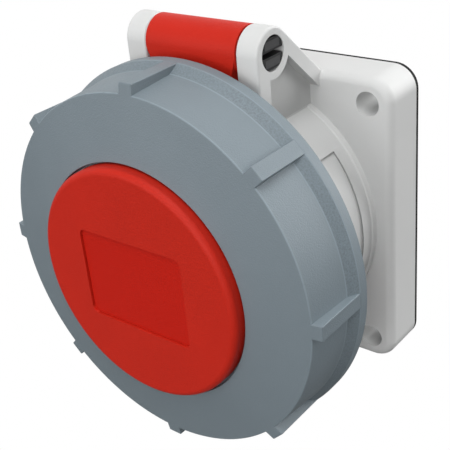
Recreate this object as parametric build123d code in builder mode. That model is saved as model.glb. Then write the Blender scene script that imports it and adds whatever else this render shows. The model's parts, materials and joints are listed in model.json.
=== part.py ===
from build123d import *
import os
from math import asin, atan2, cos, radians, sin, sqrt, tan

# Five-pole 63 A panel socket with a hinged lid and a bayonet locking ring.
# X runs to the right, Z up, and the socket faces -Y. The origin is on the socket's axis, in
# the plane of the panel. Lengths are in millimetres, angles in degrees. A front value is a
# distance from the panel's plane towards the viewer; a negative one lies behind the panel.

os.makedirs("parts", exist_ok=True)

# The plug's own sizes: its pins, their circle, and the space for its shroud
phase_pin_radius = 4.0
earth_pin_radius = 5.0
pilot_pin_radius = 3.0
pole_circle_radius = 20.0
collar_bore_radius = 43.0
carrier_radius = 35.2

# Flange, gasket and fixing holes
flange_side = 105.0
flange_corner_radius = 8.0
flange_edge_radius = 3.0
flange_depth = 16.2
flange_wall = 3.2
gasket_thickness = 1.5
gasket_rim_width = 7.5
gasket_corner_radius = 20.0
fixing_inset = 8.5
fixing_hole_radius = 4.1
fixing_boss_radius = 7.0

# Barrel of the housing, its keyway and its label field
barrel_wall = 3.4
barrel_rear = 6.5
barrel_base_step = 0.4
barrel_base_height = 2.6
collar_front = 70.5
collar_chamfer = 0.8
key_width = 9.0
key_depth = 1.8
key_rear_offset = 4.6
label_depth = 0.7
label_offset = 7.7
label_length = 25.0
label_sweep_angle = 78.6

# Hinge ears
hinge_front = 41.4
hinge_height = 65.5
ear_radius = 8.0
ear_thickness = 8.1
ear_spacing = 36.48
ear_edge_radius = 0.8
ear_band_width = 5.6
ear_foot_sink = 2.2
strut_width = 4.8
strut_foot_drop = 1.5
web_recess_depth = 3.6

# Hinge pin
pin_radius = 5.5
pin_clearance = 0.07
pin_end_inset = 1.2
pin_snap_length = 7.0
pin_snap_width = 10.2
pin_snap_height = 9.4
pin_slot_width = 1.7

# Bayonet between the collar and the ring
bayonet_count = 3
ramp_height = 5.8
ramp_setback = 10.4
ramp_thickness = 4.5
ramp_chamfer = 1.5
ramp_sweep_angle = 26.0
stop_length = 4.4
stop_sweep_angle = 6.0
lug_tip_clearance = 3.2
lug_ramp_clearance = 0.3
lug_rear_inset = 2.0
lug_sweep_angle = 12.0
lug_rest_angle = 60.0
lock_turn_angle = 45.0

# Locking ring
ring_front_radius = 61.2
ring_front_offset = 8.3
ring_depth = 24.8
ring_rim_width = 3.8
ring_slope_width = 3.9
ring_draft_step = 1.1
ring_rim_step = 2.3
ring_side_wall = 3.2
ring_face_wall = 3.6
ring_face_rise = 4.4
ring_lip_overlap = 1.4
ring_lip_inset = 2.3
ring_edge_radius = 0.4
ring_rim_chamfer = 0.4
rib_count = 8
rib_width = 5.2
rib_tip_step = 0.1
rib_front_step = 0.65

# Lid, its seal and its arm
lid_radius = 40.0
lid_rise = 3.8
lid_edge_radius = 2.2
lid_top_wall = 3.0
lid_neck_wall = 2.5
lid_ring_gap = 0.7
lid_lip_clearance = 0.3
lid_neck_clearance = 0.4
lid_face_clearance = 0.35
lid_flange_clearance = 2.5
lid_flange_offset = 2.5
lid_bead_offset = 1.1
lid_bead_width = 2.1
lid_field_width = 42.2
lid_field_height = 31.4
lid_field_corner_radius = 2.4
lid_field_depth = 0.7
seal_inner_overlap = 1.3
seal_outer_overlap = 0.5
seal_groove_offset = 3.7
seal_rear_offset = 0.3
seal_side_fit = 0.1
arm_thickness = 3.6
arm_ring_clearance = 0.8
arm_sweep_angle = 32.0
arm_side_clearance = 0.4
arm_barrel_step = 0.1
arm_waist_width = 32.0
arm_waist_share = 0.565
arm_foot_rise = 0.4

# Contact carrier and the plate behind it
carrier_setback = 8.5
carrier_wall = 2.4
carrier_face_wall = 2.5
carrier_chamfer = 1.0
screw_post_width = 7.2
screw_post_floor = 3.0
clamp_entry_gap = 0.6
pocket_gap = 0.1
plate_thickness = 4.0
plate_rim_overhang = 3.0
plate_seat_depth = 1.5
spigot_height = 3.0
spigot_clearance = 0.2
lobe_radius = 4.0
lobe_circle_radius = 50.5

# Terminal block
block_radius = 33.0
block_length = 34.5
block_floor_thickness = 8.0
block_chamfer = 1.0
wire_entry_radius = 6.4
pilot_entry_radius = 3.6
block_screw_angles = (18.0, 162.0)
block_screw_circle_radius = 27.5
block_screw_counterbore = 21.0

# Contacts and their clips
contact_fit = 0.05
sleeve_wall = 1.6
pilot_sleeve_wall = 1.3
nose_wall = 0.8
nose_length = 1.1
nose_clearance = 0.15
sleeve_face_gap = 0.4
seat_step = 0.9
seat_front = 20.0
socket_depth = 44.0
slot_width = 1.2
slot_depth = 22.0
head_radius = 8.2
pilot_head_radius = 5.8
head_clearance = 0.2
head_length = 24.0
wire_bore_radius = 4.3
pilot_wire_radius = 2.4
wire_depth = 16.0
clip_setback = 1.4
clip_width = 6.0
clip_thickness = 0.8
clip_split = 2.0

# Screws
clamp_screw_radius = 3.4
pilot_clamp_radius = 1.9
clamp_screw_length = 4.6
pilot_clamp_length = 3.2
clamp_distance = 14.0
hexagon_share = 0.6
screw_radius = 1.75
screw_head_radius = 3.0
screw_head_height = 2.1
screw_slot_width = 0.9
screw_slot_depth = 1.1
screw_grip = 7.0
screw_clearance = 0.1


def facing(front):
    # A plane across the socket's axis, whose normal points to the front
    return Plane.XZ.offset(front)


def spoke(angle):
    # A plane through the axis: its x is the radius at this angle, its y the front value
    turn = radians(angle)
    return Plane(origin=(0, 0, 0), x_dir=(cos(turn), 0, sin(turn)), z_dir=(sin(turn), 0, -cos(turn)))


def side_view(x):
    # A plane across the hinge: its x is the front value, its y the height, its normal -X
    return Plane(origin=(x, 0, 0), x_dir=(0, -1, 0), z_dir=(-1, 0, 0))


def at_angle(radius, angle):
    return (radius * cos(radians(angle)), radius * sin(radians(angle)))


# Places and radii that follow from the sizes above
flange_front = gasket_thickness + flange_depth
flange_wall_rear = flange_front - flange_wall
hollow_side = flange_side - 2 * flange_wall
fixing_spacing = flange_side - 2 * fixing_inset
barrel_radius = collar_bore_radius + barrel_wall
barrel_base_front = flange_front + barrel_base_height

ear_inner = ear_spacing / 2
ear_outer = ear_inner + ear_thickness
web_outer = ear_outer - web_recess_depth
ear_front = hinge_front + ear_radius
ear_foot_height = sqrt(barrel_radius**2 - ear_outer**2) - ear_foot_sink
pin_bore_radius = pin_radius + pin_clearance

# The strut's top line touches the ear's round head, and ends on the flange's top edge
strut_top = flange_side / 2 - strut_foot_drop
strut_rise = hinge_height - strut_top
strut_reach = hinge_front - flange_wall_rear
strut_angle = atan2(strut_rise, strut_reach) + asin(ear_radius / sqrt(strut_rise**2 + strut_reach**2))
web_foot_height = strut_top - strut_width / cos(strut_angle)
web_head_front = hinge_front - (ear_radius - strut_width) * sin(strut_angle)
web_head_height = hinge_height + (ear_radius - strut_width) * cos(strut_angle)

ramp_radius = barrel_radius + ramp_height
ramp_rear = collar_front - ramp_setback
ramp_front = ramp_rear + ramp_thickness

ring_front = collar_front + ring_front_offset
ring_rear = ring_front - ring_depth
ring_rim_front = ring_rear + ring_rim_width
ring_foot_front = ring_rim_front + ring_slope_width
ring_foot_radius = ring_front_radius + ring_draft_step
ring_rim_radius = ring_foot_radius + ring_rim_step
ring_inner_radius = ring_front_radius - ring_side_wall
ring_hole_radius = lid_radius + lid_ring_gap
ring_hole_front = ring_front + ring_face_rise
ring_lip_radius = ring_hole_radius - ring_lip_overlap
ring_lip_front = ring_hole_front - ring_lip_inset
ring_slope = ring_face_rise / (ring_front_radius - ring_hole_radius)
lug_tip_radius = barrel_radius + lug_tip_clearance
lug_front = ramp_rear - lug_ramp_clearance
lug_rear = ring_rear + lug_rear_inset

lid_front = ring_hole_front + lid_rise
lid_under = ring_lip_front + lid_lip_clearance
lid_neck_radius = ring_lip_radius - lid_neck_clearance
lid_bore_radius = lid_neck_radius - lid_neck_wall
lid_flange_radius = ring_inner_radius - lid_flange_clearance
lid_flange_rear = collar_front + lid_flange_offset
lid_bead_rear = collar_front + lid_bead_offset
seal_inner = collar_bore_radius - seal_inner_overlap
seal_outer = barrel_radius + seal_outer_overlap
seal_front = collar_front + seal_groove_offset
lid_bead_radius = seal_outer + lid_bead_width
arm_outer_radius = ring_inner_radius - arm_ring_clearance
arm_inner_radius = arm_outer_radius - arm_thickness
arm_half = ear_inner - arm_side_clearance
arm_barrel_radius = ear_radius - arm_barrel_step
arm_rear = hinge_front + arm_barrel_radius - arm_thickness
arm_foot_height = arm_inner_radius + arm_foot_rise
arm_waist_height = hinge_height - arm_waist_share * (hinge_height - arm_foot_height)

carrier_front = collar_front - carrier_setback
plate_rear = barrel_rear - plate_thickness
carrier_rear = barrel_rear - plate_seat_depth
sleeve_front = carrier_front - carrier_face_wall - sleeve_face_gap
contact_front = sleeve_front + nose_length
head_front = plate_rear - head_clearance
block_rear = plate_rear - block_length
clamp_front = plate_rear - clamp_distance


def under_ring_face(radius, clearance):
    # Front value below the rear surface of the ring's conical face
    return ring_front + (ring_front_radius - radius) * ring_slope - ring_face_wall - clearance


lobe_centres = [at_angle(lobe_circle_radius, 45 + 90 * i) for i in range(4)]
block_screw_centres = [at_angle(block_screw_circle_radius, angle) for angle in block_screw_angles]

# Hinge ears with their struts: rounded outlines, and a recess in each outer side
with BuildPart() as ears:
    for start in (ear_outer, -ear_inner):
        with BuildSketch(side_view(start)):
            with Locations((hinge_front, hinge_height)):
                Circle(ear_radius)
            with BuildLine():
                Polyline(
                    (ear_front, hinge_height),
                    (ear_front, ear_foot_height),
                    (flange_wall_rear, ear_foot_height),
                    (flange_wall_rear, strut_top),
                )
            make_hull()
        extrude(amount=ear_thickness)
    ear_edges = ears.edges().filter_by_position(
        Axis.Z, ear_foot_height, hinge_height + ear_radius, inclusive=(False, True)
    )
    ear_edges = ear_edges.filter_by_position(
        Axis.Y, -ear_front, -flange_wall_rear, inclusive=(True, False)
    )
    fillet(ear_edges, ear_edge_radius)
    for start in (ear_outer, -web_outer):
        with BuildSketch(side_view(start)):
            with BuildLine():
                Polyline(
                    (ear_front - ear_band_width, ear_foot_height),
                    (ear_front - ear_band_width, hinge_height),
                    (web_head_front, web_head_height),
                    (flange_wall_rear, web_foot_height),
                    (flange_wall_rear, ear_foot_height),
                    close=True,
                )
            make_face()
            with Locations((hinge_front, hinge_height)):
                Circle(ear_radius, mode=Mode.SUBTRACT)
        extrude(amount=web_recess_depth, mode=Mode.SUBTRACT)

# Housing: flange, ears, barrel, collar and bayonet ramps in one moulding
with BuildPart() as housing:
    # Flange, hollow from behind
    with BuildSketch(facing(gasket_thickness)):
        RectangleRounded(flange_side, flange_side, flange_corner_radius)
    extrude(amount=flange_depth)
    fillet(housing.faces().sort_by(Axis.Y)[0].edges(), flange_edge_radius)
    with BuildSketch(facing(gasket_thickness)):
        RectangleRounded(hollow_side, hollow_side, flange_corner_radius - flange_wall)
    extrude(amount=flange_wall_rear - gasket_thickness, mode=Mode.SUBTRACT)
    add(ears.part)

    # Barrel, and the clear bore through it and the flange
    with BuildSketch(spoke(0)):
        with BuildLine():
            Polyline(
                (collar_bore_radius - 1, barrel_rear),
                (barrel_radius + barrel_base_step, barrel_rear),
                (barrel_radius + barrel_base_step, barrel_base_front - barrel_base_step),
                (barrel_radius, barrel_base_front),
                (barrel_radius, collar_front - collar_chamfer),
                (barrel_radius - collar_chamfer, collar_front),
                (collar_bore_radius - 1, collar_front),
                close=True,
            )
        make_face()
    revolve(axis=Axis.Y)
    with BuildSketch(facing(0)):
        Circle(collar_bore_radius)
    extrude(amount=collar_front + 1, mode=Mode.SUBTRACT)

    # Bosses inside the flange, and their holes
    with BuildSketch(facing(gasket_thickness)):
        with GridLocations(fixing_spacing, fixing_spacing, 2, 2):
            Circle(fixing_boss_radius)
    extrude(amount=flange_wall_rear - gasket_thickness)
    with BuildSketch(facing(barrel_rear)):
        with Locations(*lobe_centres):
            Circle(lobe_radius)
    extrude(amount=flange_wall_rear - barrel_rear)
    with BuildSketch(facing(0)):
        with GridLocations(fixing_spacing, fixing_spacing, 2, 2):
            Circle(fixing_hole_radius)
    extrude(amount=flange_front + 1, mode=Mode.SUBTRACT)
    with BuildSketch(facing(barrel_rear)):
        with Locations(*lobe_centres):
            Circle(screw_radius + screw_clearance)
    extrude(amount=screw_grip, mode=Mode.SUBTRACT)

    # Keyway at six o'clock
    with BuildSketch(facing(flange_front + key_rear_offset)):
        with Locations((0, -collar_bore_radius)):
            Rectangle(key_width, 2 * key_depth)
    extrude(amount=collar_front, mode=Mode.SUBTRACT)

    # Bayonet ramps, each with its end stop
    for i in range(bayonet_count):
        ramp_middle = lug_rest_angle - lock_turn_angle + i * 360 / bayonet_count
        ramp_start = ramp_middle - ramp_sweep_angle / 2
        with BuildSketch(spoke(ramp_start + ramp_sweep_angle)):
            with BuildLine():
                Polyline(
                    (barrel_radius - 1, ramp_rear),
                    (ramp_radius, ramp_rear),
                    (ramp_radius, ramp_front - ramp_chamfer),
                    (ramp_radius - ramp_chamfer, ramp_front),
                    (barrel_radius - 1, ramp_front),
                    close=True,
                )
            make_face()
        revolve(axis=Axis.Y, revolution_arc=ramp_sweep_angle)
        with BuildSketch(spoke(ramp_start + stop_sweep_angle)):
            with BuildLine():
                Polyline(
                    (barrel_radius - 1, ramp_rear - stop_length),
                    (ramp_radius, ramp_rear - stop_length),
                    (ramp_radius, ramp_rear + ramp_chamfer),
                    (barrel_radius - 1, ramp_rear + ramp_chamfer),
                    close=True,
                )
            make_face()
        revolve(axis=Axis.Y, revolution_arc=stop_sweep_angle)

    # Label field at three o'clock, and the hole for the hinge pin
    label_rear = flange_front + label_offset
    with BuildSketch(spoke(label_sweep_angle / 2)):
        with BuildLine():
            Polyline(
                (barrel_radius - label_depth, label_rear),
                (barrel_radius + 1, label_rear),
                (barrel_radius + 1, label_rear + label_length),
                (barrel_radius - label_depth, label_rear + label_length),
                close=True,
            )
        make_face()
    revolve(axis=Axis.Y, revolution_arc=label_sweep_angle, mode=Mode.SUBTRACT)
    with BuildSketch(side_view(ear_outer + 1)):
        with Locations((hinge_front, hinge_height)):
            Circle(pin_bore_radius)
    extrude(amount=2 * ear_outer + 2, mode=Mode.SUBTRACT)
housing.part.label = "housing"
housing.part.color = Color(0.85, 0.85, 0.83)
export_step(housing.part, "parts/housing.step")

# Panel gasket
with BuildPart() as panel_gasket:
    with BuildSketch(facing(0)):
        gasket_opening = flange_side - 2 * gasket_rim_width
        RectangleRounded(flange_side, flange_side, flange_corner_radius)
        RectangleRounded(gasket_opening, gasket_opening, gasket_corner_radius, mode=Mode.SUBTRACT)
        with GridLocations(fixing_spacing, fixing_spacing, 2, 2):
            Circle(fixing_hole_radius, mode=Mode.SUBTRACT)
    extrude(amount=gasket_thickness)
panel_gasket.part.label = "panel_gasket"
panel_gasket.part.color = Color(0.06, 0.06, 0.06)
export_step(panel_gasket.part, "parts/panel_gasket.step")

# Hinge pin: a round shaft with flattened, slotted snap ends
with BuildPart() as hinge_pin:
    pin_half = ear_outer - pin_end_inset
    with BuildSketch(side_view(pin_half)):
        with Locations((hinge_front, hinge_height)):
            Circle(pin_radius)
    extrude(amount=2 * pin_half)
    for start in (pin_half, -pin_half + pin_snap_length):
        with BuildSketch(side_view(start)):
            with Locations((hinge_front, hinge_height)):
                Circle(pin_radius + 1)
                Rectangle(pin_snap_width, pin_snap_height, mode=Mode.SUBTRACT)
                Rectangle(2 * pin_radius + 2, pin_slot_width)
        extrude(amount=pin_snap_length, mode=Mode.SUBTRACT)
hinge_pin.part.label = "hinge_pin"
hinge_pin.part.color = Color(0.08, 0.08, 0.08)
export_step(hinge_pin.part, "parts/hinge_pin.step")

# Lid: the domed cap, its neck and flange inside the ring, and the arm up to the hinge
with BuildPart() as lid:
    with BuildSketch(spoke(0)):
        with BuildLine():
            Polyline(
                (0, lid_front - lid_top_wall),
                (0, lid_front),
                (lid_radius - lid_edge_radius, lid_front),
            )
            RadiusArc(
                (lid_radius - lid_edge_radius, lid_front),
                (lid_radius, lid_front - lid_edge_radius),
                lid_edge_radius,
            )
            Polyline(
                (lid_radius, lid_front - lid_edge_radius),
                (lid_radius, lid_under),
                (lid_neck_radius, lid_under),
                (lid_neck_radius, under_ring_face(ring_hole_radius, lid_face_clearance)),
                (ring_hole_radius, under_ring_face(ring_hole_radius, lid_face_clearance)),
                (lid_flange_radius, under_ring_face(lid_flange_radius, lid_face_clearance)),
                (lid_flange_radius, lid_flange_rear),
                (lid_bead_radius, lid_flange_rear),
                (lid_bead_radius, lid_bead_rear),
                (seal_outer, lid_bead_rear),
                (seal_outer, seal_front),
                (seal_inner, seal_front),
                (seal_inner, lid_bead_rear),
                (lid_bore_radius, lid_bead_rear),
                (lid_bore_radius, lid_front - lid_top_wall),
                (0, lid_front - lid_top_wall),
            )
        make_face()
    revolve(axis=Axis.Y)

    # Arm: a curved strap through the ring, a tapered upright and the hinge barrel
    with BuildSketch(spoke(90 + arm_sweep_angle / 2)):
        with BuildLine():
            Polyline(
                (arm_inner_radius, arm_rear),
                (arm_outer_radius, arm_rear),
                (arm_outer_radius, under_ring_face(arm_outer_radius, lid_face_clearance)),
                (arm_inner_radius, under_ring_face(arm_inner_radius, lid_face_clearance)),
                close=True,
            )
        make_face()
    revolve(axis=Axis.Y, revolution_arc=arm_sweep_angle)
    with BuildSketch(facing(arm_rear)):
        with BuildLine():
            Polyline(
                (-arm_half, hinge_height),
                (arm_half, hinge_height),
                (arm_waist_width / 2, arm_waist_height),
                (arm_waist_width / 2, arm_foot_height),
                (-arm_waist_width / 2, arm_foot_height),
                (-arm_waist_width / 2, arm_waist_height),
                close=True,
            )
        make_face()
    extrude(amount=arm_thickness)
    with BuildSketch(spoke(90)):
        with Locations((hinge_height, hinge_front)):
            Circle(arm_barrel_radius)
    extrude(amount=arm_half, both=True)
    with BuildSketch(spoke(90)):
        with Locations((hinge_height, hinge_front)):
            Circle(pin_bore_radius)
    extrude(amount=arm_half, both=True, mode=Mode.SUBTRACT)

    # Shallow field on the cap
    with BuildSketch(facing(lid_front)):
        RectangleRounded(lid_field_width, lid_field_height, lid_field_corner_radius)
    extrude(amount=-lid_field_depth, mode=Mode.SUBTRACT)
lid.part.label = "lid"
lid.part.color = Color(0.75, 0.14, 0.1)
export_step(lid.part, "parts/lid.step")

# Seal in the lid's groove, over the collar's front edge
with BuildPart() as lid_seal:
    with BuildSketch(spoke(0)):
        with BuildLine():
            Polyline(
                (seal_inner + seal_side_fit, collar_front + seal_rear_offset),
                (seal_outer - seal_side_fit, collar_front + seal_rear_offset),
                (seal_outer - seal_side_fit, seal_front),
                (seal_inner + seal_side_fit, seal_front),
                close=True,
            )
        make_face()
    revolve(axis=Axis.Y)
lid_seal.part.label = "lid_seal"
lid_seal.part.color = Color(0.1, 0.1, 0.1)
export_step(lid_seal.part, "parts/lid_seal.step")

# Locking ring: a drafted shell with a conical face, a proud rim, grip ribs and inner lugs
with BuildPart() as locking_ring:
    with BuildSketch(spoke(0)):
        with BuildLine():
            Polyline(
                (ring_hole_radius, ring_hole_front),
                (ring_front_radius, ring_front),
                (ring_foot_radius, ring_foot_front),
                (ring_rim_radius, ring_rim_front),
                (ring_rim_radius, ring_rear),
                (ring_inner_radius, ring_rear),
                (ring_inner_radius, under_ring_face(ring_inner_radius, 0)),
                (ring_hole_radius, under_ring_face(ring_hole_radius, 0)),
                (ring_lip_radius, under_ring_face(ring_hole_radius, 0)),
                (ring_lip_radius, ring_lip_front),
                (ring_hole_radius, ring_lip_front),
                close=True,
            )
        make_face()
    revolve(axis=Axis.Y)
    fillet(locking_ring.edges().filter_by_position(Axis.Y, -ring_front, -ring_front), ring_edge_radius)
    rear_edges = locking_ring.edges().filter_by_position(Axis.Y, -ring_rear, -ring_rear)
    chamfer(rear_edges, ring_rim_chamfer)
    with BuildSketch(facing(ring_rim_front - 1)):
        with PolarLocations(ring_front_radius, rib_count):
            Rectangle(2 * rib_width, rib_width)
        Circle(ring_rim_radius - rib_tip_step, mode=Mode.INTERSECT)
        Circle(ring_inner_radius + 1, mode=Mode.SUBTRACT)
    extrude(amount=ring_front - rib_front_step - ring_rim_front + 1)
    for i in range(bayonet_count):
        lug_middle = lug_rest_angle + i * 360 / bayonet_count
        with BuildSketch(spoke(lug_middle + lug_sweep_angle / 2)):
            with BuildLine():
                Polyline(
                    (lug_tip_radius, lug_rear),
                    (ring_inner_radius + 1, lug_rear),
                    (ring_inner_radius + 1, lug_front),
                    (lug_tip_radius, lug_front),
                    close=True,
                )
            make_face()
        revolve(axis=Axis.Y, revolution_arc=lug_sweep_angle)
locking_ring.part.label = "locking_ring"
locking_ring.part.color = Color(0.48, 0.53, 0.56)
export_step(locking_ring.part, "parts/locking_ring.step")


def contact_sizes(angle, distance, pin, wall, head, wire, clamp):
    # One contact's place and radii, from its pin's radius
    sleeve = pin + contact_fit + wall
    nose = pin + contact_fit + nose_wall
    return dict(
        angle=angle,
        distance=distance,
        centre=at_angle(distance, angle),
        bore=pin + contact_fit,
        nose=nose,
        entry=nose + nose_clearance,
        sleeve=sleeve,
        seat=sleeve + seat_step,
        head=head,
        wire=wire,
        clamp=clamp,
    )


# Earth stands next to the keyway; the others follow at equal steps, and the pilot is central
contacts = {}
for i, name in enumerate(("pe", "l3", "l2", "l1", "n")):
    pin = earth_pin_radius if name == "pe" else phase_pin_radius
    contacts[name] = contact_sizes(
        270 + i * 72, pole_circle_radius, pin, sleeve_wall, head_radius, wire_bore_radius, clamp_screw_radius
    )
clips = list(contacts)
contacts["pilot"] = contact_sizes(
    90, 0, pilot_pin_radius, pilot_sleeve_wall, pilot_head_radius, pilot_wire_radius, pilot_clamp_radius
)


def clamp_plane(place, outset):
    # A plane beside a contact's head, whose normal points away from the socket's axis
    turn = radians(place["angle"])
    x, z = at_angle(place["distance"] + outset, place["angle"])
    return Plane(origin=(x, -clamp_front, z), x_dir=(0, 1, 0), z_dir=(cos(turn), 0, sin(turn)))


# Contact carrier: the insulating cup that the plug's shroud goes round. Its face has an entry
# for each pin, and two posts inside its wall take the screws from behind
with BuildPart() as contact_carrier:
    with BuildSketch(facing(carrier_rear)):
        Circle(carrier_radius)
    extrude(amount=carrier_front - carrier_rear)
    chamfer(contact_carrier.faces().sort_by(Axis.Y)[0].edges(), carrier_chamfer)
    with BuildSketch(facing(carrier_rear)):
        Circle(carrier_radius - carrier_wall)
    extrude(amount=carrier_front - carrier_face_wall - carrier_rear, mode=Mode.SUBTRACT)
    with BuildSketch(facing(carrier_rear)):
        for place in contacts.values():
            with Locations(place["centre"]):
                Circle(place["entry"])
    extrude(amount=carrier_front - carrier_rear, mode=Mode.SUBTRACT)
    post_inner = block_screw_circle_radius - screw_post_width / 2
    post_outer = carrier_radius - carrier_wall / 2
    with BuildSketch(facing(carrier_rear)):
        for angle in block_screw_angles:
            with PolarLocations((post_inner + post_outer) / 2, 1, start_angle=angle):
                Rectangle(post_outer - post_inner, screw_post_width)
    extrude(amount=screw_grip + screw_post_floor)
    with BuildSketch(facing(carrier_rear)):
        with Locations(*block_screw_centres):
            Circle(screw_radius + screw_clearance)
    extrude(amount=screw_grip, mode=Mode.SUBTRACT)
contact_carrier.part.label = "contact_carrier"
contact_carrier.part.color = Color(0.13, 0.13, 0.14)
export_step(contact_carrier.part, "parts/contact_carrier.step")

# Base plate: seats the carrier, centres it in the barrel and is screwed to the flange
with BuildPart() as base_plate:
    with BuildSketch(facing(plate_rear)):
        Circle(collar_bore_radius + plate_rim_overhang)
        with PolarLocations(lobe_circle_radius - lobe_radius, 4, start_angle=45):
            Rectangle(2 * lobe_radius, 2 * lobe_radius)
        with Locations(*lobe_centres):
            Circle(lobe_radius)
    extrude(amount=plate_thickness)
    with BuildSketch(facing(plate_rear)):
        Circle(collar_bore_radius - spigot_clearance)
    extrude(amount=plate_thickness + spigot_height)
    with BuildSketch(facing(carrier_rear)):
        Circle(carrier_radius + pocket_gap)
    extrude(amount=plate_thickness + spigot_height, mode=Mode.SUBTRACT)
    with BuildSketch(facing(plate_rear)):
        for place in contacts.values():
            with Locations(place["centre"]):
                Circle(place["seat"] + pocket_gap)
        with Locations(*lobe_centres, *block_screw_centres):
            Circle(screw_radius + screw_clearance)
    extrude(amount=plate_thickness, mode=Mode.SUBTRACT)
base_plate.part.label = "base_plate"
base_plate.part.color = Color(0.13, 0.13, 0.14)
export_step(base_plate.part, "parts/base_plate.step")

# Terminal block behind the panel: pockets for the heads, wire entries and clamp access
with BuildPart() as terminal_block:
    with BuildSketch(facing(block_rear)):
        Circle(block_radius)
    extrude(amount=block_length)
    chamfer(terminal_block.faces().sort_by(Axis.Y)[-1].edges(), block_chamfer)
    for name, place in contacts.items():
        with BuildSketch(facing(block_rear)):
            with Locations(place["centre"]):
                Circle(pilot_entry_radius if name == "pilot" else wire_entry_radius)
        extrude(amount=block_length, mode=Mode.SUBTRACT)
        with BuildSketch(facing(block_rear + block_floor_thickness)):
            with Locations(place["centre"]):
                Circle(place["head"] + pocket_gap)
        extrude(amount=block_length, mode=Mode.SUBTRACT)
        with BuildSketch(clamp_plane(place, 0)):
            Circle(place["clamp"] + clamp_entry_gap)
        extrude(amount=block_radius, mode=Mode.SUBTRACT)
    with BuildSketch(facing(block_rear)):
        with Locations(*block_screw_centres):
            Circle(screw_radius + screw_clearance)
    extrude(amount=block_length, mode=Mode.SUBTRACT)
    with BuildSketch(facing(block_rear)):
        with Locations(*block_screw_centres):
            Circle(screw_head_radius + screw_clearance)
    extrude(amount=block_screw_counterbore, mode=Mode.SUBTRACT)
terminal_block.part.label = "terminal_block"
terminal_block.part.color = Color(0.16, 0.16, 0.17)
export_step(terminal_block.part, "parts/terminal_block.step")

# Contacts: a slotted sleeve whose nose is centred in the carrier's entry, a seat in the plate
# and a clamp head behind it
for name, place in contacts.items():
    with BuildPart() as contact:
        with BuildSketch(facing(head_front - head_length)):
            with Locations(place["centre"]):
                Circle(place["head"])
        extrude(amount=head_length)
        with BuildSketch(facing(head_front)):
            with Locations(place["centre"]):
                Circle(place["seat"])
        extrude(amount=seat_front - head_front)
        with BuildSketch(facing(seat_front)):
            with Locations(place["centre"]):
                Circle(place["sleeve"])
        extrude(amount=sleeve_front - seat_front)
        with BuildSketch(facing(sleeve_front)):
            with Locations(place["centre"]):
                Circle(place["nose"])
        extrude(amount=contact_front - sleeve_front)
        with BuildSketch(facing(contact_front - socket_depth)):
            with Locations(place["centre"]):
                Circle(place["bore"])
        extrude(amount=socket_depth, mode=Mode.SUBTRACT)
        with BuildSketch(facing(head_front - head_length)):
            with Locations(place["centre"]):
                Circle(place["wire"])
        extrude(amount=wire_depth, mode=Mode.SUBTRACT)
        with BuildSketch(facing(contact_front - slot_depth)):
            with Locations(place["centre"]):
                Rectangle(4 * place["sleeve"], slot_width)
                Rectangle(slot_width, 4 * place["sleeve"])
        extrude(amount=slot_depth, mode=Mode.SUBTRACT)
        with BuildSketch(clamp_plane(place, 0)):
            Circle(place["clamp"])
        extrude(amount=place["head"] + 1, mode=Mode.SUBTRACT)
    contact.part.label = f"contact_{name}"
    contact.part.color = Color(0.8, 0.78, 0.7)
    export_step(contact.part, f"parts/contact_{name}.step")

# Spring clips round the slotted sleeves
for name in clips:
    place = contacts[name]
    inner = place["sleeve"] + contact_fit
    with BuildPart() as clip:
        with BuildSketch(facing(sleeve_front - clip_setback - clip_width)):
            with Locations(place["centre"]):
                Circle(inner + clip_thickness)
                Circle(inner, mode=Mode.SUBTRACT)
            with Locations((place["centre"][0], place["centre"][1] + inner)):
                Rectangle(clip_split, 4 * clip_thickness, mode=Mode.SUBTRACT)
        extrude(amount=clip_width)
    clip.part.label = f"clip_{name}"
    clip.part.color = Color(0.6, 0.6, 0.62)
    export_step(clip.part, f"parts/clip_{name}.step")

# Clamp screws: headless, with a hexagon socket, turned in towards the wire
with BuildPart() as terminal_screws:
    for name in clips:
        place = contacts[name]
        outer_end = clamp_plane(place, place["head"])
        with BuildSketch(outer_end):
            Circle(place["clamp"] - contact_fit)
        extrude(amount=-clamp_screw_length)
        with BuildSketch(outer_end):
            RegularPolygon(place["clamp"] * hexagon_share, 6)
        extrude(amount=-clamp_screw_length / 2, mode=Mode.SUBTRACT)
terminal_screws.part.label = "terminal_screws"
terminal_screws.part.color = Color(0.62, 0.62, 0.64)
export_step(terminal_screws.part, "parts/terminal_screws.step")

with BuildPart() as pilot_screw:
    outer_end = clamp_plane(contacts["pilot"], pilot_head_radius)
    with BuildSketch(outer_end):
        Circle(pilot_clamp_radius - contact_fit)
    extrude(amount=-pilot_clamp_length)
    with BuildSketch(outer_end):
        RegularPolygon(pilot_clamp_radius * hexagon_share, 6)
    extrude(amount=-pilot_clamp_length / 2, mode=Mode.SUBTRACT)
pilot_screw.part.label = "pilot_screw"
pilot_screw.part.color = Color(0.62, 0.62, 0.64)
export_step(pilot_screw.part, "parts/pilot_screw.step")

# Screws that hold the base plate in the flange; their heads lie behind the plate
with BuildPart() as plate_screws:
    with BuildSketch(facing(plate_rear - screw_head_height)):
        with Locations(*lobe_centres):
            Circle(screw_head_radius)
    extrude(amount=screw_head_height)
    with BuildSketch(facing(plate_rear)):
        with Locations(*lobe_centres):
            Circle(screw_radius)
    extrude(amount=plate_thickness + screw_grip - 1)
    with BuildSketch(facing(plate_rear - screw_head_height)):
        with Locations(*lobe_centres):
            Rectangle(2 * screw_head_radius, screw_slot_width)
    extrude(amount=screw_slot_depth, mode=Mode.SUBTRACT)
plate_screws.part.label = "plate_screws"
plate_screws.part.color = Color(0.62, 0.62, 0.64)
export_step(plate_screws.part, "parts/plate_screws.step")

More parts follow.
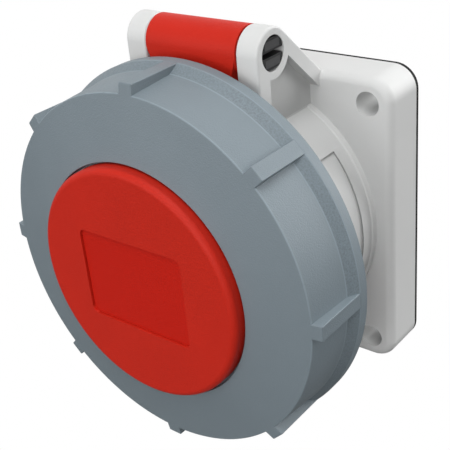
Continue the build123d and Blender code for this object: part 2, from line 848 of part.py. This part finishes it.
# Screws that draw the terminal block and the carrier together through the plate
with BuildPart() as block_screws:
    head_seat = block_rear + block_screw_counterbore
    with BuildSketch(facing(head_seat - screw_head_height)):
        with Locations(*block_screw_centres):
            Circle(screw_head_radius)
    extrude(amount=screw_head_height)
    with BuildSketch(facing(head_seat)):
        with Locations(*block_screw_centres):
            Circle(screw_radius)
    extrude(amount=carrier_rear + screw_grip - 1 - head_seat)
    with BuildSketch(facing(head_seat - screw_head_height)):
        with Locations(*block_screw_centres):
            Rectangle(2 * screw_head_radius, screw_slot_width)
    extrude(amount=screw_slot_depth, mode=Mode.SUBTRACT)
block_screws.part.label = "block_screws"
block_screws.part.color = Color(0.62, 0.62, 0.64)
export_step(block_screws.part, "parts/block_screws.step")
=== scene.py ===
import bmesh
import bpy
import json
from math import cos, pi, radians, sin
from mathutils import Matrix, Vector


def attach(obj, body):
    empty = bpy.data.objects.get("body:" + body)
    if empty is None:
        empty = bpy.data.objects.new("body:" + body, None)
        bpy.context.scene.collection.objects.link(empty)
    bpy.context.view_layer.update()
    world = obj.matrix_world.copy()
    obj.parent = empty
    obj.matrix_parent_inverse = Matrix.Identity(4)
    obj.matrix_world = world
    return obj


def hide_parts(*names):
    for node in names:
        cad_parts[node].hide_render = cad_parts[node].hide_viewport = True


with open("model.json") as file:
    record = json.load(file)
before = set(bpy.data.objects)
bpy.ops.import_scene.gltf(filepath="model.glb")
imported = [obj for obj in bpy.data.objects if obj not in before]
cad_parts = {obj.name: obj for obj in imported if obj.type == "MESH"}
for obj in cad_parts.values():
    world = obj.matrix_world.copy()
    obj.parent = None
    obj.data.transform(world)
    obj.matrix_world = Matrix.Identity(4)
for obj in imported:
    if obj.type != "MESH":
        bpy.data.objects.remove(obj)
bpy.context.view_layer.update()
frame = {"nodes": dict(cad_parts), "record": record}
mm = 0.001
bodies = frame["record"]["behaviour"]["bodies"]
bodyOf = {node: body for body, nodes in bodies.items() for node in nodes}
slotOf = {part["node"]: part["material_slot"] for part in frame["record"]["subparts"]}
print("frame loaded:", len(frame["nodes"]), "nodes")


def newMaterial(name, colour, roughness, metallic=0.0, specular=0.5):
    material = bpy.data.materials.new(name)
    material.use_nodes = True
    shader = material.node_tree.nodes["Principled BSDF"]
    shader.inputs["Base Color"].default_value = (*colour, 1.0)
    shader.inputs["Roughness"].default_value = roughness
    shader.inputs["Metallic"].default_value = metallic
    shader.inputs["Specular IOR Level"].default_value = specular
    return material, material.node_tree, shader


def objectCoords(tree):
    return tree.nodes.new("ShaderNodeTexCoord").outputs["Object"]


def addNoise(tree, coords, noise):
    texture = tree.nodes.new("ShaderNodeTexNoise")
    texture.inputs["Scale"].default_value = noise["scale"]
    texture.inputs["Detail"].default_value = noise["detail"]
    texture.inputs["Roughness"].default_value = noise["roughness"]
    tree.links.new(coords, texture.inputs["Vector"])
    return texture.outputs["Fac"]


def addRamp(tree, value, stops):
    ramp = tree.nodes.new("ShaderNodeValToRGB")
    for element, (position, colour) in zip(ramp.color_ramp.elements, stops):
        element.position = position
        element.color = (*colour, 1.0)
    tree.links.new(value, ramp.inputs["Fac"])
    return ramp.outputs["Color"]


def addRange(tree, value, low, high):
    spread = tree.nodes.new("ShaderNodeMapRange")
    spread.inputs["To Min"].default_value = low
    spread.inputs["To Max"].default_value = high
    tree.links.new(value, spread.inputs["Value"])
    return spread.outputs["Result"]


def addMath(tree, operation, first, second=0.0):
    node = tree.nodes.new("ShaderNodeMath")
    node.operation = operation
    for socket, value in zip(node.inputs, (first, second)):
        if isinstance(value, float):
            socket.default_value = value
        else:
            tree.links.new(value, socket)
    return node.outputs[0]


def shade(colour, factor):
    return tuple(min(1.0, channel * factor) for channel in colour)


plasticMottle = {"detail": 3.0, "roughness": 0.5, "low": 0.3, "high": 0.7}
plasticGrain = {"detail": 2.0, "roughness": 0.6}
metalStain = {"detail": 4.0, "roughness": 0.5, "low": 0.25, "high": 0.75}
metalTurning = {"detail": 1.0, "roughness": 0.5, "smoother": 0.06, "rougher": 0.08}


def mouldedPlastic(name, look):
    # Moulded plastic: spark-eroded grain, a slow mottling and a slight change of gloss
    colour, roughness = look["colour"], look["roughness"]
    material, tree, shader = newMaterial(name, colour, roughness, specular=look["specular"])
    coords = objectCoords(tree)
    mottling = addNoise(tree, coords, {**plasticMottle, "scale": look["mottleScale"]})
    mottled = addRamp(tree, mottling, (
        (plasticMottle["low"], shade(colour, 1 - look["mottle"])),
        (plasticMottle["high"], shade(colour, 1 + look["mottle"]))))
    tree.links.new(mottled, shader.inputs["Base Color"])
    grain = addNoise(tree, coords, {**plasticGrain, "scale": look["grainScale"]})
    gloss = addRange(tree, grain, roughness - look["glossSpread"],
                     roughness + look["glossSpread"])
    tree.links.new(gloss, shader.inputs["Roughness"])
    bump = tree.nodes.new("ShaderNodeBump")
    bump.inputs["Strength"].default_value = look["grainStrength"]
    bump.inputs["Distance"].default_value = look["grainDepth"] * mm
    tree.links.new(grain, bump.inputs["Height"])
    tree.links.new(bump.outputs["Normal"], shader.inputs["Normal"])
    return material


def metalFinish(name, look):
    # Turned or stamped metal: fine scatter of gloss and faint stains
    colour, roughness = look["colour"], look["roughness"]
    material, tree, shader = newMaterial(name, colour, roughness, metallic=1.0)
    coords = objectCoords(tree)
    stain = addNoise(tree, coords, {**metalStain, "scale": look["stainScale"]})
    stained = addRamp(tree, stain, (
        (metalStain["low"], shade(colour, 1 - look["stain"])), (metalStain["high"], colour)))
    tree.links.new(stained, shader.inputs["Base Color"])
    turning = addNoise(tree, coords, {**metalTurning, "scale": look["turningScale"]})
    gloss = addRange(tree, turning, roughness - metalTurning["smoother"],
                     roughness + metalTurning["rougher"])
    tree.links.new(gloss, shader.inputs["Roughness"])
    return material


plasticLooks = {
    "ring_grey": {
        "colour": (0.186, 0.226, 0.252), "roughness": 0.46, "specular": 0.28,
        "mottle": 0.02, "mottleScale": 60.0, "glossSpread": 0.08,
        "grainScale": 2200.0, "grainStrength": 0.8, "grainDepth": 0.14},
    "red_lid": {
        "colour": (0.545, 0.0205, 0.0095), "roughness": 0.48, "specular": 0.16,
        "mottle": 0.03, "mottleScale": 50.0, "glossSpread": 0.05,
        "grainScale": 2200.0, "grainStrength": 0.8, "grainDepth": 0.14},
    "grey_housing": {
        "colour": (0.67, 0.675, 0.67), "roughness": 0.45, "specular": 0.25,
        "mottle": 0.012, "mottleScale": 40.0, "glossSpread": 0.05,
        "grainScale": 1100.0, "grainStrength": 0.15, "grainDepth": 0.08},
    "gasket_rubber": {
        "colour": (0.010, 0.010, 0.0105), "roughness": 0.7, "specular": 0.12,
        "mottle": 0.2, "mottleScale": 120.0, "glossSpread": 0.1,
        "grainScale": 1500.0, "grainStrength": 0.3, "grainDepth": 0.08},
    "seal_rubber": {
        "colour": (0.022, 0.022, 0.022), "roughness": 0.62, "specular": 0.3,
        "mottle": 0.2, "mottleScale": 120.0, "glossSpread": 0.1,
        "grainScale": 1500.0, "grainStrength": 0.3, "grainDepth": 0.06},
    "black_plastic": {
        "colour": (0.005, 0.005, 0.0055), "roughness": 0.4, "specular": 0.3,
        "mottle": 0.1, "mottleScale": 90.0, "glossSpread": 0.06,
        "grainScale": 1300.0, "grainStrength": 0.2, "grainDepth": 0.05},
    "carrier_plastic": {
        "colour": (0.035, 0.036, 0.04), "roughness": 0.46, "specular": 0.45,
        "mottle": 0.08, "mottleScale": 70.0, "glossSpread": 0.07,
        "grainScale": 1200.0, "grainStrength": 0.25, "grainDepth": 0.08},
}
metalLooks = {
    "contact_metal": {"colour": (0.78, 0.72, 0.58), "roughness": 0.26, "stain": 0.12,
                      "stainScale": 160.0, "turningScale": 2600.0},
    "spring_steel": {"colour": (0.62, 0.62, 0.63), "roughness": 0.24, "stain": 0.1,
                     "stainScale": 200.0, "turningScale": 2000.0},
    "screw_steel": {"colour": (0.66, 0.66, 0.68), "roughness": 0.3, "stain": 0.08,
                    "stainScale": 240.0, "turningScale": 2200.0},
}
finishes = {name: mouldedPlastic(name, look) for name, look in plasticLooks.items()}
finishes.update({name: metalFinish(name, look) for name, look in metalLooks.items()})


def objectPlace(tree):
    # How far across the object, in front of the panel and above the axis a point lies, in metres
    axes = tree.nodes.new("ShaderNodeSeparateXYZ")
    tree.links.new(objectCoords(tree), axes.inputs[0])
    across, depth, height = axes.outputs
    return {"across": across, "front": addMath(tree, "MULTIPLY", depth, -1.0), "height": height}


def fromAxis(tree, place):
    squares = [addMath(tree, "MULTIPLY", place[way], place[way]) for way in ("across", "height")]
    return addMath(tree, "SQRT", addMath(tree, "ADD", *squares))


def sizeOf(tree, value):
    return addMath(tree, "ABSOLUTE", value)


def below(tree, value, limit):
    return addMath(tree, "LESS_THAN", value, limit * mm)


def above(tree, value, limit):
    return addMath(tree, "GREATER_THAN", value, limit * mm)


def between(tree, value, low, high):
    return addMath(tree, "MULTIPLY", above(tree, value, low), below(tree, value, high))


def allOf(tree, first, *others):
    for other in others:
        first = addMath(tree, "MULTIPLY", first, other)
    return first


def mixShaders(tree, factor, first, second, surface):
    mix = tree.nodes.new("ShaderNodeMixShader")
    for value, socket in zip((factor, first, second), mix.inputs):
        tree.links.new(value, socket)
    tree.links.new(mix.outputs[0], surface)


mixColours = {"first": 6, "second": 7, "mixed": 2}


def paintWhere(tree, within, colour):
    base = tree.nodes["Principled BSDF"].inputs["Base Color"]
    mixed = tree.nodes.new("ShaderNodeMix")
    mixed.data_type = "RGBA"
    tree.links.new(within, mixed.inputs["Factor"])
    tree.links.new(base.links[0].from_socket, mixed.inputs[mixColours["first"]])
    mixed.inputs[mixColours["second"]].default_value = (*colour, 1.0)
    tree.links.new(mixed.outputs[mixColours["mixed"]], base)


lidField = {"front": 85.9, "halfWidth": 20.7, "halfHeight": 15.3,
            "colour": (0.535, 0.0125, 0.005), "smoother": 0.07}


def smoothField(tree, field):
    # The sunk field on the cap is smoother and of a deeper red than the grained surface round it
    place = objectPlace(tree)
    within = allOf(tree, above(tree, place["front"], field["front"]),
                   below(tree, sizeOf(tree, place["across"]), field["halfWidth"]),
                   below(tree, sizeOf(tree, place["height"]), field["halfHeight"]))
    paintWhere(tree, within, field["colour"])
    roughness = tree.nodes["Principled BSDF"].inputs["Roughness"]
    smoother = addMath(tree, "MULTIPLY", within, -field["smoother"])
    tree.links.new(addMath(tree, "ADD", roughness.links[0].from_socket, smoother), roughness)


# Painted highlight on the ribs at the pin's ends
pinRibHighlights = {"front": 41.4, "height": 65.5, "slotSide": 1.5, "ribTop": 4.0, "ribHalf": 3.6,
          "colour": (0.046, 0.046, 0.048)}


def paintedRibHighlights(tree, ribHighlight):
    # Painted highlight: the faces of the two ribs at each end of the pin are painted paler than
    # the plastic round them, where light catches them
    place = objectPlace(tree)
    ahead = sizeOf(tree, addMath(tree, "SUBTRACT", place["front"], ribHighlight["front"] * mm))
    aside = sizeOf(tree, addMath(tree, "SUBTRACT", place["height"], ribHighlight["height"] * mm))
    within = allOf(tree, between(tree, aside, ribHighlight["slotSide"], ribHighlight["ribTop"]),
                   below(tree, ahead, ribHighlight["ribHalf"]))
    paintWhere(tree, within, ribHighlight["colour"])


# Painted shade in the sunk webs by the ears
earPocket = {"inner": 22.5, "outer": 25.95, "rear": 17.95, "front": 43.9, "high": 64.0,
             "barrel": 46.95, "far": 80.0, "colour": (0.55, 0.555, 0.55)}


def pocketShade(tree, pocket):
    # Painted shade darkens the sunk webs between the ears and their struts, where the ears and
    # struts keep the light off
    place = objectPlace(tree)
    aside = sizeOf(tree, place["across"])
    within = allOf(tree, between(tree, aside, pocket["inner"], pocket["outer"]),
                   between(tree, place["front"], pocket["rear"], pocket["front"]),
                   between(tree, place["height"], 0.0, pocket["high"]),
                   between(tree, fromAxis(tree, place), pocket["barrel"], pocket["far"]))
    paintWhere(tree, within, pocket["colour"])


# Painted shade on the walls of the step round the label field
labelStep = {"floor": 45.76, "brim": 46.36, "rear": 24.90, "front": 50.90,
             "colour": (0.36, 0.362, 0.36)}


def labelStepShade(tree, label):
    # Painted shade: the low step round the label field holds a darker painted line, where the
    # step shades itself
    place = objectPlace(tree)
    within = allOf(tree, between(tree, fromAxis(tree, place), label["floor"], label["brim"]),
                   between(tree, place["front"], label["rear"], label["front"]))
    paintWhere(tree, within, label["colour"])


# Painted highlights along the ring's turned edges, and a speckled band on its slope
ringEdges = {
    "lines": ({"front": 78.62, "half": 0.2, "gain": 0.30},
              {"front": 61.7, "half": 0.22, "gain": 0.28},
              {"front": 57.85, "half": 0.2, "gain": 0.22}),
    "band": {"front": 61.5, "rear": 58.05, "tip": 64.42, "gain": -0.04, "speckle": 0.7},
    "grain": {**plasticGrain, "scale": 1900.0, "middle": 0.5},
    "ribLines": (0.0, 45.0, 90.0, 135.0), "ribHalf": 2.75,
}


def ringHighlightsAndBand(tree, ringMarks):
    # Painted highlights: bright lines painted along the turned edges of the ring; and a coarser,
    # speckled band on its slope, a little darker
    place = objectPlace(tree)
    # Nothing is drawn on the ribs, which stand in pairs on lines through the axis
    clear = []
    for angle in ringMarks["ribLines"]:
        aside = addMath(tree, "ADD",
                        addMath(tree, "MULTIPLY", place["across"], cos(radians(angle))),
                        addMath(tree, "MULTIPLY", place["height"], sin(radians(angle))))
        clear.append(above(tree, sizeOf(tree, aside), ringMarks["ribHalf"]))
    plain = allOf(tree, *clear)
    shading = 1.0
    # Painted highlight: the colour is made brighter along each turned edge
    for line in ringMarks["lines"]:
        away = sizeOf(tree, addMath(tree, "SUBTRACT", place["front"], line["front"] * mm))
        onLine = allOf(tree, plain, below(tree, away, line["half"]))
        shading = addMath(tree, "ADD", shading, addMath(tree, "MULTIPLY", onLine, line["gain"]))
    band = ringMarks["band"]
    onBand = allOf(tree, between(tree, place["front"], band["rear"], band["front"]), plain,
                   below(tree, fromAxis(tree, place), band["tip"]))
    grain = addNoise(tree, objectCoords(tree), ringMarks["grain"])
    offMiddle = addMath(tree, "SUBTRACT", grain, ringMarks["grain"]["middle"])
    speckle = addMath(tree, "MULTIPLY", offMiddle, band["speckle"])
    duller = addMath(tree, "MULTIPLY", onBand, addMath(tree, "ADD", speckle, band["gain"]))
    base = tree.nodes["Principled BSDF"].inputs["Base Color"]
    scaled = tree.nodes.new("ShaderNodeVectorMath")
    scaled.operation = "SCALE"
    tree.links.new(base.links[0].from_socket, scaled.inputs[0])
    tree.links.new(addMath(tree, "ADD", shading, duller), scaled.inputs["Scale"])
    tree.links.new(scaled.outputs[0], base)


ringHighlightsAndBand(finishes["ring_grey"].node_tree, ringEdges)
smoothField(finishes["red_lid"].node_tree, lidField)
paintedRibHighlights(finishes["black_plastic"].node_tree, pinRibHighlights)
pocketShade(finishes["grey_housing"].node_tree, earPocket)
labelStepShade(finishes["grey_housing"].node_tree, labelStep)
print("finishes made:", len(finishes))

mergeDistance = 0.001
closingDistance = 0.0001
flatAngle = 0.4
sharpAngle = 30.0
smoothAngle = 32.0
facingForwards = -0.999
sameFront = 0.1


def softenEdges(bm, edges, width, segments=2):
    bmesh.ops.bevel(bm, geom=edges, offset=width * mm, offset_type="OFFSET", segments=segments,
                    profile=0.5, affect="EDGES", clamp_overlap=True, material=-1)


def sharpEdges(bm, limit):
    return [edge for edge in bm.edges
            if len(edge.link_faces) == 2 and edge.calc_face_angle() > radians(limit)]


def makePiece(name, bm, node):
    bmesh.ops.recalc_face_normals(bm, faces=bm.faces)
    mesh = bpy.data.meshes.new(name)
    bm.to_mesh(mesh)
    bm.free()
    mesh.shade_smooth()
    mesh.set_sharp_from_angle(angle=radians(smoothAngle))
    piece = bpy.data.objects.new(name, mesh)
    bpy.context.scene.collection.objects.link(piece)
    mesh.materials.append(finishes[slotOf[node]])
    weighted = piece.modifiers.new("weighted", "WEIGHTED_NORMAL")
    weighted.keep_sharp = True
    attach(piece, bodyOf[node])
    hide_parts(node)
    return piece


def largestFace(bm, front):
    # The largest flat face that looks forwards and lies near this front value
    flat = [face for face in bm.faces if face.normal.y < facingForwards
            and abs(face.calc_center_median().y / mm + front) < sameFront]
    return max(flat, key=lambda face: face.calc_area())


def grooveField(bm, groove):
    # Deepens a recess, then raises its floor again inside a narrow border, which leaves a groove
    floorFace = largestFace(bm, groove["front"])
    bmesh.ops.translate(bm, verts=floorFace.verts, vec=(0, groove["depth"] * mm, 0))
    bmesh.ops.inset_individual(bm, faces=[floorFace], thickness=groove["width"] * mm,
                               depth=groove["depth"] * mm, use_even_offset=True)


def stretchEnds(bm, ends):
    # The ends stand a little further out, near the faces of the ears
    for vert in bm.verts:
        if abs(vert.co.x) > ends["beyond"] * mm:
            vert.co.x += ends["by"] * mm * (1 if vert.co.x > 0 else -1)


def dressedCopy(node, softening, groove=None, ends=None):
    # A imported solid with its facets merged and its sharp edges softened
    bm = bmesh.new()
    bm.from_mesh(frame["nodes"][node].data)
    bmesh.ops.remove_doubles(bm, verts=bm.verts, dist=mergeDistance * mm)
    if ends:
        stretchEnds(bm, ends)
    bmesh.ops.dissolve_limit(bm, angle_limit=radians(flatAngle), verts=bm.verts, edges=bm.edges,
                             use_dissolve_boundaries=False, delimit=set())
    if groove:
        grooveField(bm, groove)
    softenEdges(bm, sharpEdges(bm, sharpAngle), softening)
    return makePiece(f"dressed_{node}", bm, node)


ringShape = {
    "profile": [(40.7, 83.2), (61.2, 78.8), (62.3, 61.7), (64.6, 57.8), (64.6, 54.0),
                (58.0, 54.0), (58.0, 75.887), (40.7, 79.6), (39.3, 79.6), (39.3, 80.9),
                (40.7, 80.9)],
    "steps": 192, "softenFrom": 12.0, "softening": 0.35, "segments": 3,
}
ribShape = {
    "count": 8, "width": 5.2, "tip": 64.5, "root": 60.0,
    "front": 78.19, "rootFront": 79.05, "rear": 57.0, "softening": 0.3, "segments": 3,
}
lugShape = {
    "tip": 49.6, "root": 59.0, "rear": 56.0, "front": 59.8, "arc": 12.0, "steps": 8,
    "softening": 0.3, "angles": (60.0, 180.0, 300.0),
}


def spoke(radius, front):
    # A point of a turned profile, in the plane above the axis
    return Vector((0.0, -front * mm, radius * mm))


def turnAbout(bm, angle):
    bmesh.ops.rotate(bm, verts=bm.verts, cent=(0, 0, 0),
                     matrix=Matrix.Rotation(radians(angle), 3, "Y"))


def addShape(bm, form):
    # Takes a finished form into the mesh of its piece
    mesh = bpy.data.meshes.new("form")
    form.to_mesh(mesh)
    form.free()
    bm.from_mesh(mesh)
    bpy.data.meshes.remove(mesh)


def addShell(bm, shape):
    # Turns the closed profile of (radius, front) points round the socket's axis
    points = [bm.verts.new(spoke(*point)) for point in shape["profile"]]
    edges = [bm.edges.new(pair) for pair in zip(points, points[1:] + points[:1])]
    bmesh.ops.spin(bm, geom=points + edges, cent=(0, 0, 0), axis=(0, 1, 0), dvec=(0, 0, 0),
                   angle=2 * pi, steps=shape["steps"], use_merge=True)
    bmesh.ops.remove_doubles(bm, verts=bm.verts, dist=closingDistance * mm)
    softenEdges(bm, sharpEdges(bm, shape["softenFrom"]), shape["softening"], shape["segments"])


def addRib(bm, shape, angle):
    # A bar along the side wall, whose end carries on the slope of the ring's face
    rib = bmesh.new()
    size = Vector((shape["width"], shape["front"] - shape["rear"],
                   shape["tip"] - shape["root"])) * mm
    centre = spoke((shape["root"] + shape["tip"]) / 2, (shape["rear"] + shape["front"]) / 2)
    place = Matrix.Translation(centre) @ Matrix.Diagonal((*size, 1.0))
    for corner in bmesh.ops.create_cube(rib, size=1.0, matrix=place)["verts"]:
        if corner.co.y < centre.y and corner.co.z < centre.z:
            corner.co.y = -shape["rootFront"] * mm
    softenEdges(rib, list(rib.edges), shape["softening"], shape["segments"])
    turnAbout(rib, angle)
    addShape(bm, rib)


def addLug(bm, shape, middle):
    # A short arc of a rectangular section inside the ring; its profile starts at twelve o'clock
    lug = bmesh.new()
    corners = [lug.verts.new(spoke(shape[radius], shape[front])) for radius, front in (
        ("tip", "rear"), ("root", "rear"), ("root", "front"), ("tip", "front"))]
    face = lug.faces.new(corners)
    turnAbout(lug, 90 - middle - shape["arc"] / 2)
    bmesh.ops.spin(lug, geom=[face, *face.verts, *face.edges], cent=(0, 0, 0),
                   axis=(0, 1, 0), dvec=(0, 0, 0), angle=radians(shape["arc"]),
                   steps=shape["steps"], use_merge=False)
    bmesh.ops.recalc_face_normals(lug, faces=lug.faces)
    softenEdges(lug, sharpEdges(lug, sharpAngle), shape["softening"])
    addShape(bm, lug)


shell = bmesh.new()
addShell(shell, ringShape)
for index in range(ribShape["count"]):
    addRib(shell, ribShape, 360 * index / ribShape["count"])
for middle in lugShape["angles"]:
    addLug(shell, lugShape, middle)
ring = makePiece("ring_shell", shell, "locking_ring")
print("locking ring made:", len(ring.data.polygons), "faces")

softenings = {
    "housing": 0.35, "panel_gasket": 0.2, "hinge_pin": 0.6, "lid": 0.3, "lid_seal": 0.3,
    "contact_carrier": 0.3, "base_plate": 0.3, "terminal_block": 0.3, "terminal_screws": 0.12,
    "pilot_screw": 0.08, "plate_screws": 0.12, "block_screws": 0.12,
}
contactSoftening = 0.12
clipSoftening = 0.05
grooves = {"lid": {"front": 86.3, "depth": 0.35, "width": 0.45}}
pinEnds = {"hinge_pin": {"beyond": 25.0, "by": 0.95}}
for node in frame["nodes"]:
    if node == "locking_ring":
        continue
    usual = contactSoftening if node.startswith("contact") else clipSoftening
    dressedCopy(node, softenings.get(node, usual), grooves.get(node), pinEnds.get(node))
print("packed solids dressed")

floorShape = {"size": 6.0, "height": -0.36, "colour": (1.0, 1.0, 1.0), "roughness": 0.8,
              "bounce": (0.14, 0.14, 0.14)}
floorMesh = bmesh.new()
bmesh.ops.create_grid(floorMesh, x_segments=1, y_segments=1, size=floorShape["size"],
                      matrix=Matrix.Translation((0, 0, floorShape["height"])))
floorData = bpy.data.meshes.new("floor")
floorMesh.to_mesh(floorData)
floorMesh.free()
floor = bpy.data.objects.new("floor", floorData)
bpy.context.scene.collection.objects.link(floor)
floorPaint = newMaterial("floor_paint", floorShape["colour"], floorShape["roughness"])[0]
floorTree = floorPaint.node_tree
# The floor is pale to the camera and darker to the light that it throws back on the object
floorRays = floorTree.nodes.new("ShaderNodeLightPath").outputs
floorDark = floorTree.nodes.new("ShaderNodeBsdfDiffuse")
floorDark.inputs["Color"].default_value = (*floorShape["bounce"], 1.0)
floorWhite = floorTree.nodes.new("ShaderNodeEmission")
floorWhite.inputs["Color"].default_value = (*floorShape["colour"], 1.0)
mixShaders(floorTree, floorRays["Is Camera Ray"], floorDark.outputs[0], floorWhite.outputs[0],
           floorTree.nodes["Material Output"].inputs["Surface"])
floorData.materials.append(floorPaint)

lamps = {
    "overhead": {"from": (0.15, -0.30, 0.94), "strength": 0.52, "spread": 45.0},
    "front": {"from": (-0.25, -0.95, 0.10), "strength": 0.46, "spread": 60.0},
    "frontRight": {"from": (0.45, -0.85, 0.25), "strength": 0.38, "spread": 50.0},
    "rear": {"from": (0.55, 0.80, 0.25), "strength": 0.64, "spread": 40.0},
    "topRear": {"from": (0.10, 0.55, 0.83), "strength": 0.28, "spread": 45.0},
}
for name, lamp in lamps.items():
    light = bpy.data.lights.new(name, "SUN")
    light.energy = lamp["strength"] * pi
    light.angle = radians(lamp["spread"])
    lampObject = bpy.data.objects.new(name, light)
    lampObject.rotation_mode = "QUATERNION"
    lampObject.rotation_quaternion = Vector(lamp["from"]).to_track_quat("Z", "Y")
    bpy.context.scene.collection.objects.link(lampObject)

# The world is white to the camera and in reflections, and only a weak fill to the surfaces
sky = {"fill": (0.07, 0.07, 0.07), "backdrop": (1.0, 1.0, 1.0)}
world = bpy.data.worlds.new("studio")
bpy.context.scene.world = world
world.use_nodes = True
worldTree = world.node_tree
fill = worldTree.nodes["Background"]
fill.inputs["Color"].default_value = (*sky["fill"], 1.0)
backdrop = worldTree.nodes.new("ShaderNodeBackground")
backdrop.inputs["Color"].default_value = (*sky["backdrop"], 1.0)
rays = worldTree.nodes.new("ShaderNodeLightPath").outputs
seen = addMath(worldTree, "MAXIMUM", rays["Is Camera Ray"], rays["Is Transmission Ray"])
mirrored = addMath(worldTree, "MAXIMUM", seen, rays["Is Glossy Ray"])
mixShaders(worldTree, mirrored, fill.outputs[0], backdrop.outputs[0],
           worldTree.nodes["World Output"].inputs["Surface"])
print("light set")

view = {"azimuth": 40.89, "elevation": 27.84, "roll": -5.77, "place": (186.6, -256.0, 150.9),
        "lens": 74.47, "sensor": 36.0, "near": 0.01, "far": 20.0}
turn, rise, tilt = (radians(view[key]) for key in ("azimuth", "elevation", "roll"))
back = Vector((sin(turn) * cos(rise), -cos(turn) * cos(rise), sin(rise)))
levelRight = Vector((0, 0, 1)).cross(back).normalized()
levelUp = back.cross(levelRight)
right = cos(tilt) * levelRight + sin(tilt) * levelUp
up = -sin(tilt) * levelRight + cos(tilt) * levelUp
cameraData = bpy.data.cameras.new("camera")
cameraData.sensor_width = view["sensor"]
cameraData.lens = view["lens"]
cameraData.clip_start = view["near"]
cameraData.clip_end = view["far"]
camera = bpy.data.objects.new("camera", cameraData)
facing = Matrix(((right.x, up.x, back.x), (right.y, up.y, back.y), (right.z, up.z, back.z)))
camera.matrix_world = Matrix.Translation(Vector(view["place"]) * mm) @ facing.to_4x4()
bpy.context.scene.collection.objects.link(camera)
bpy.context.scene.camera = camera
bpy.context.scene.view_settings.view_transform = "Standard"
print("camera set")

bpy.context.view_layer.update()
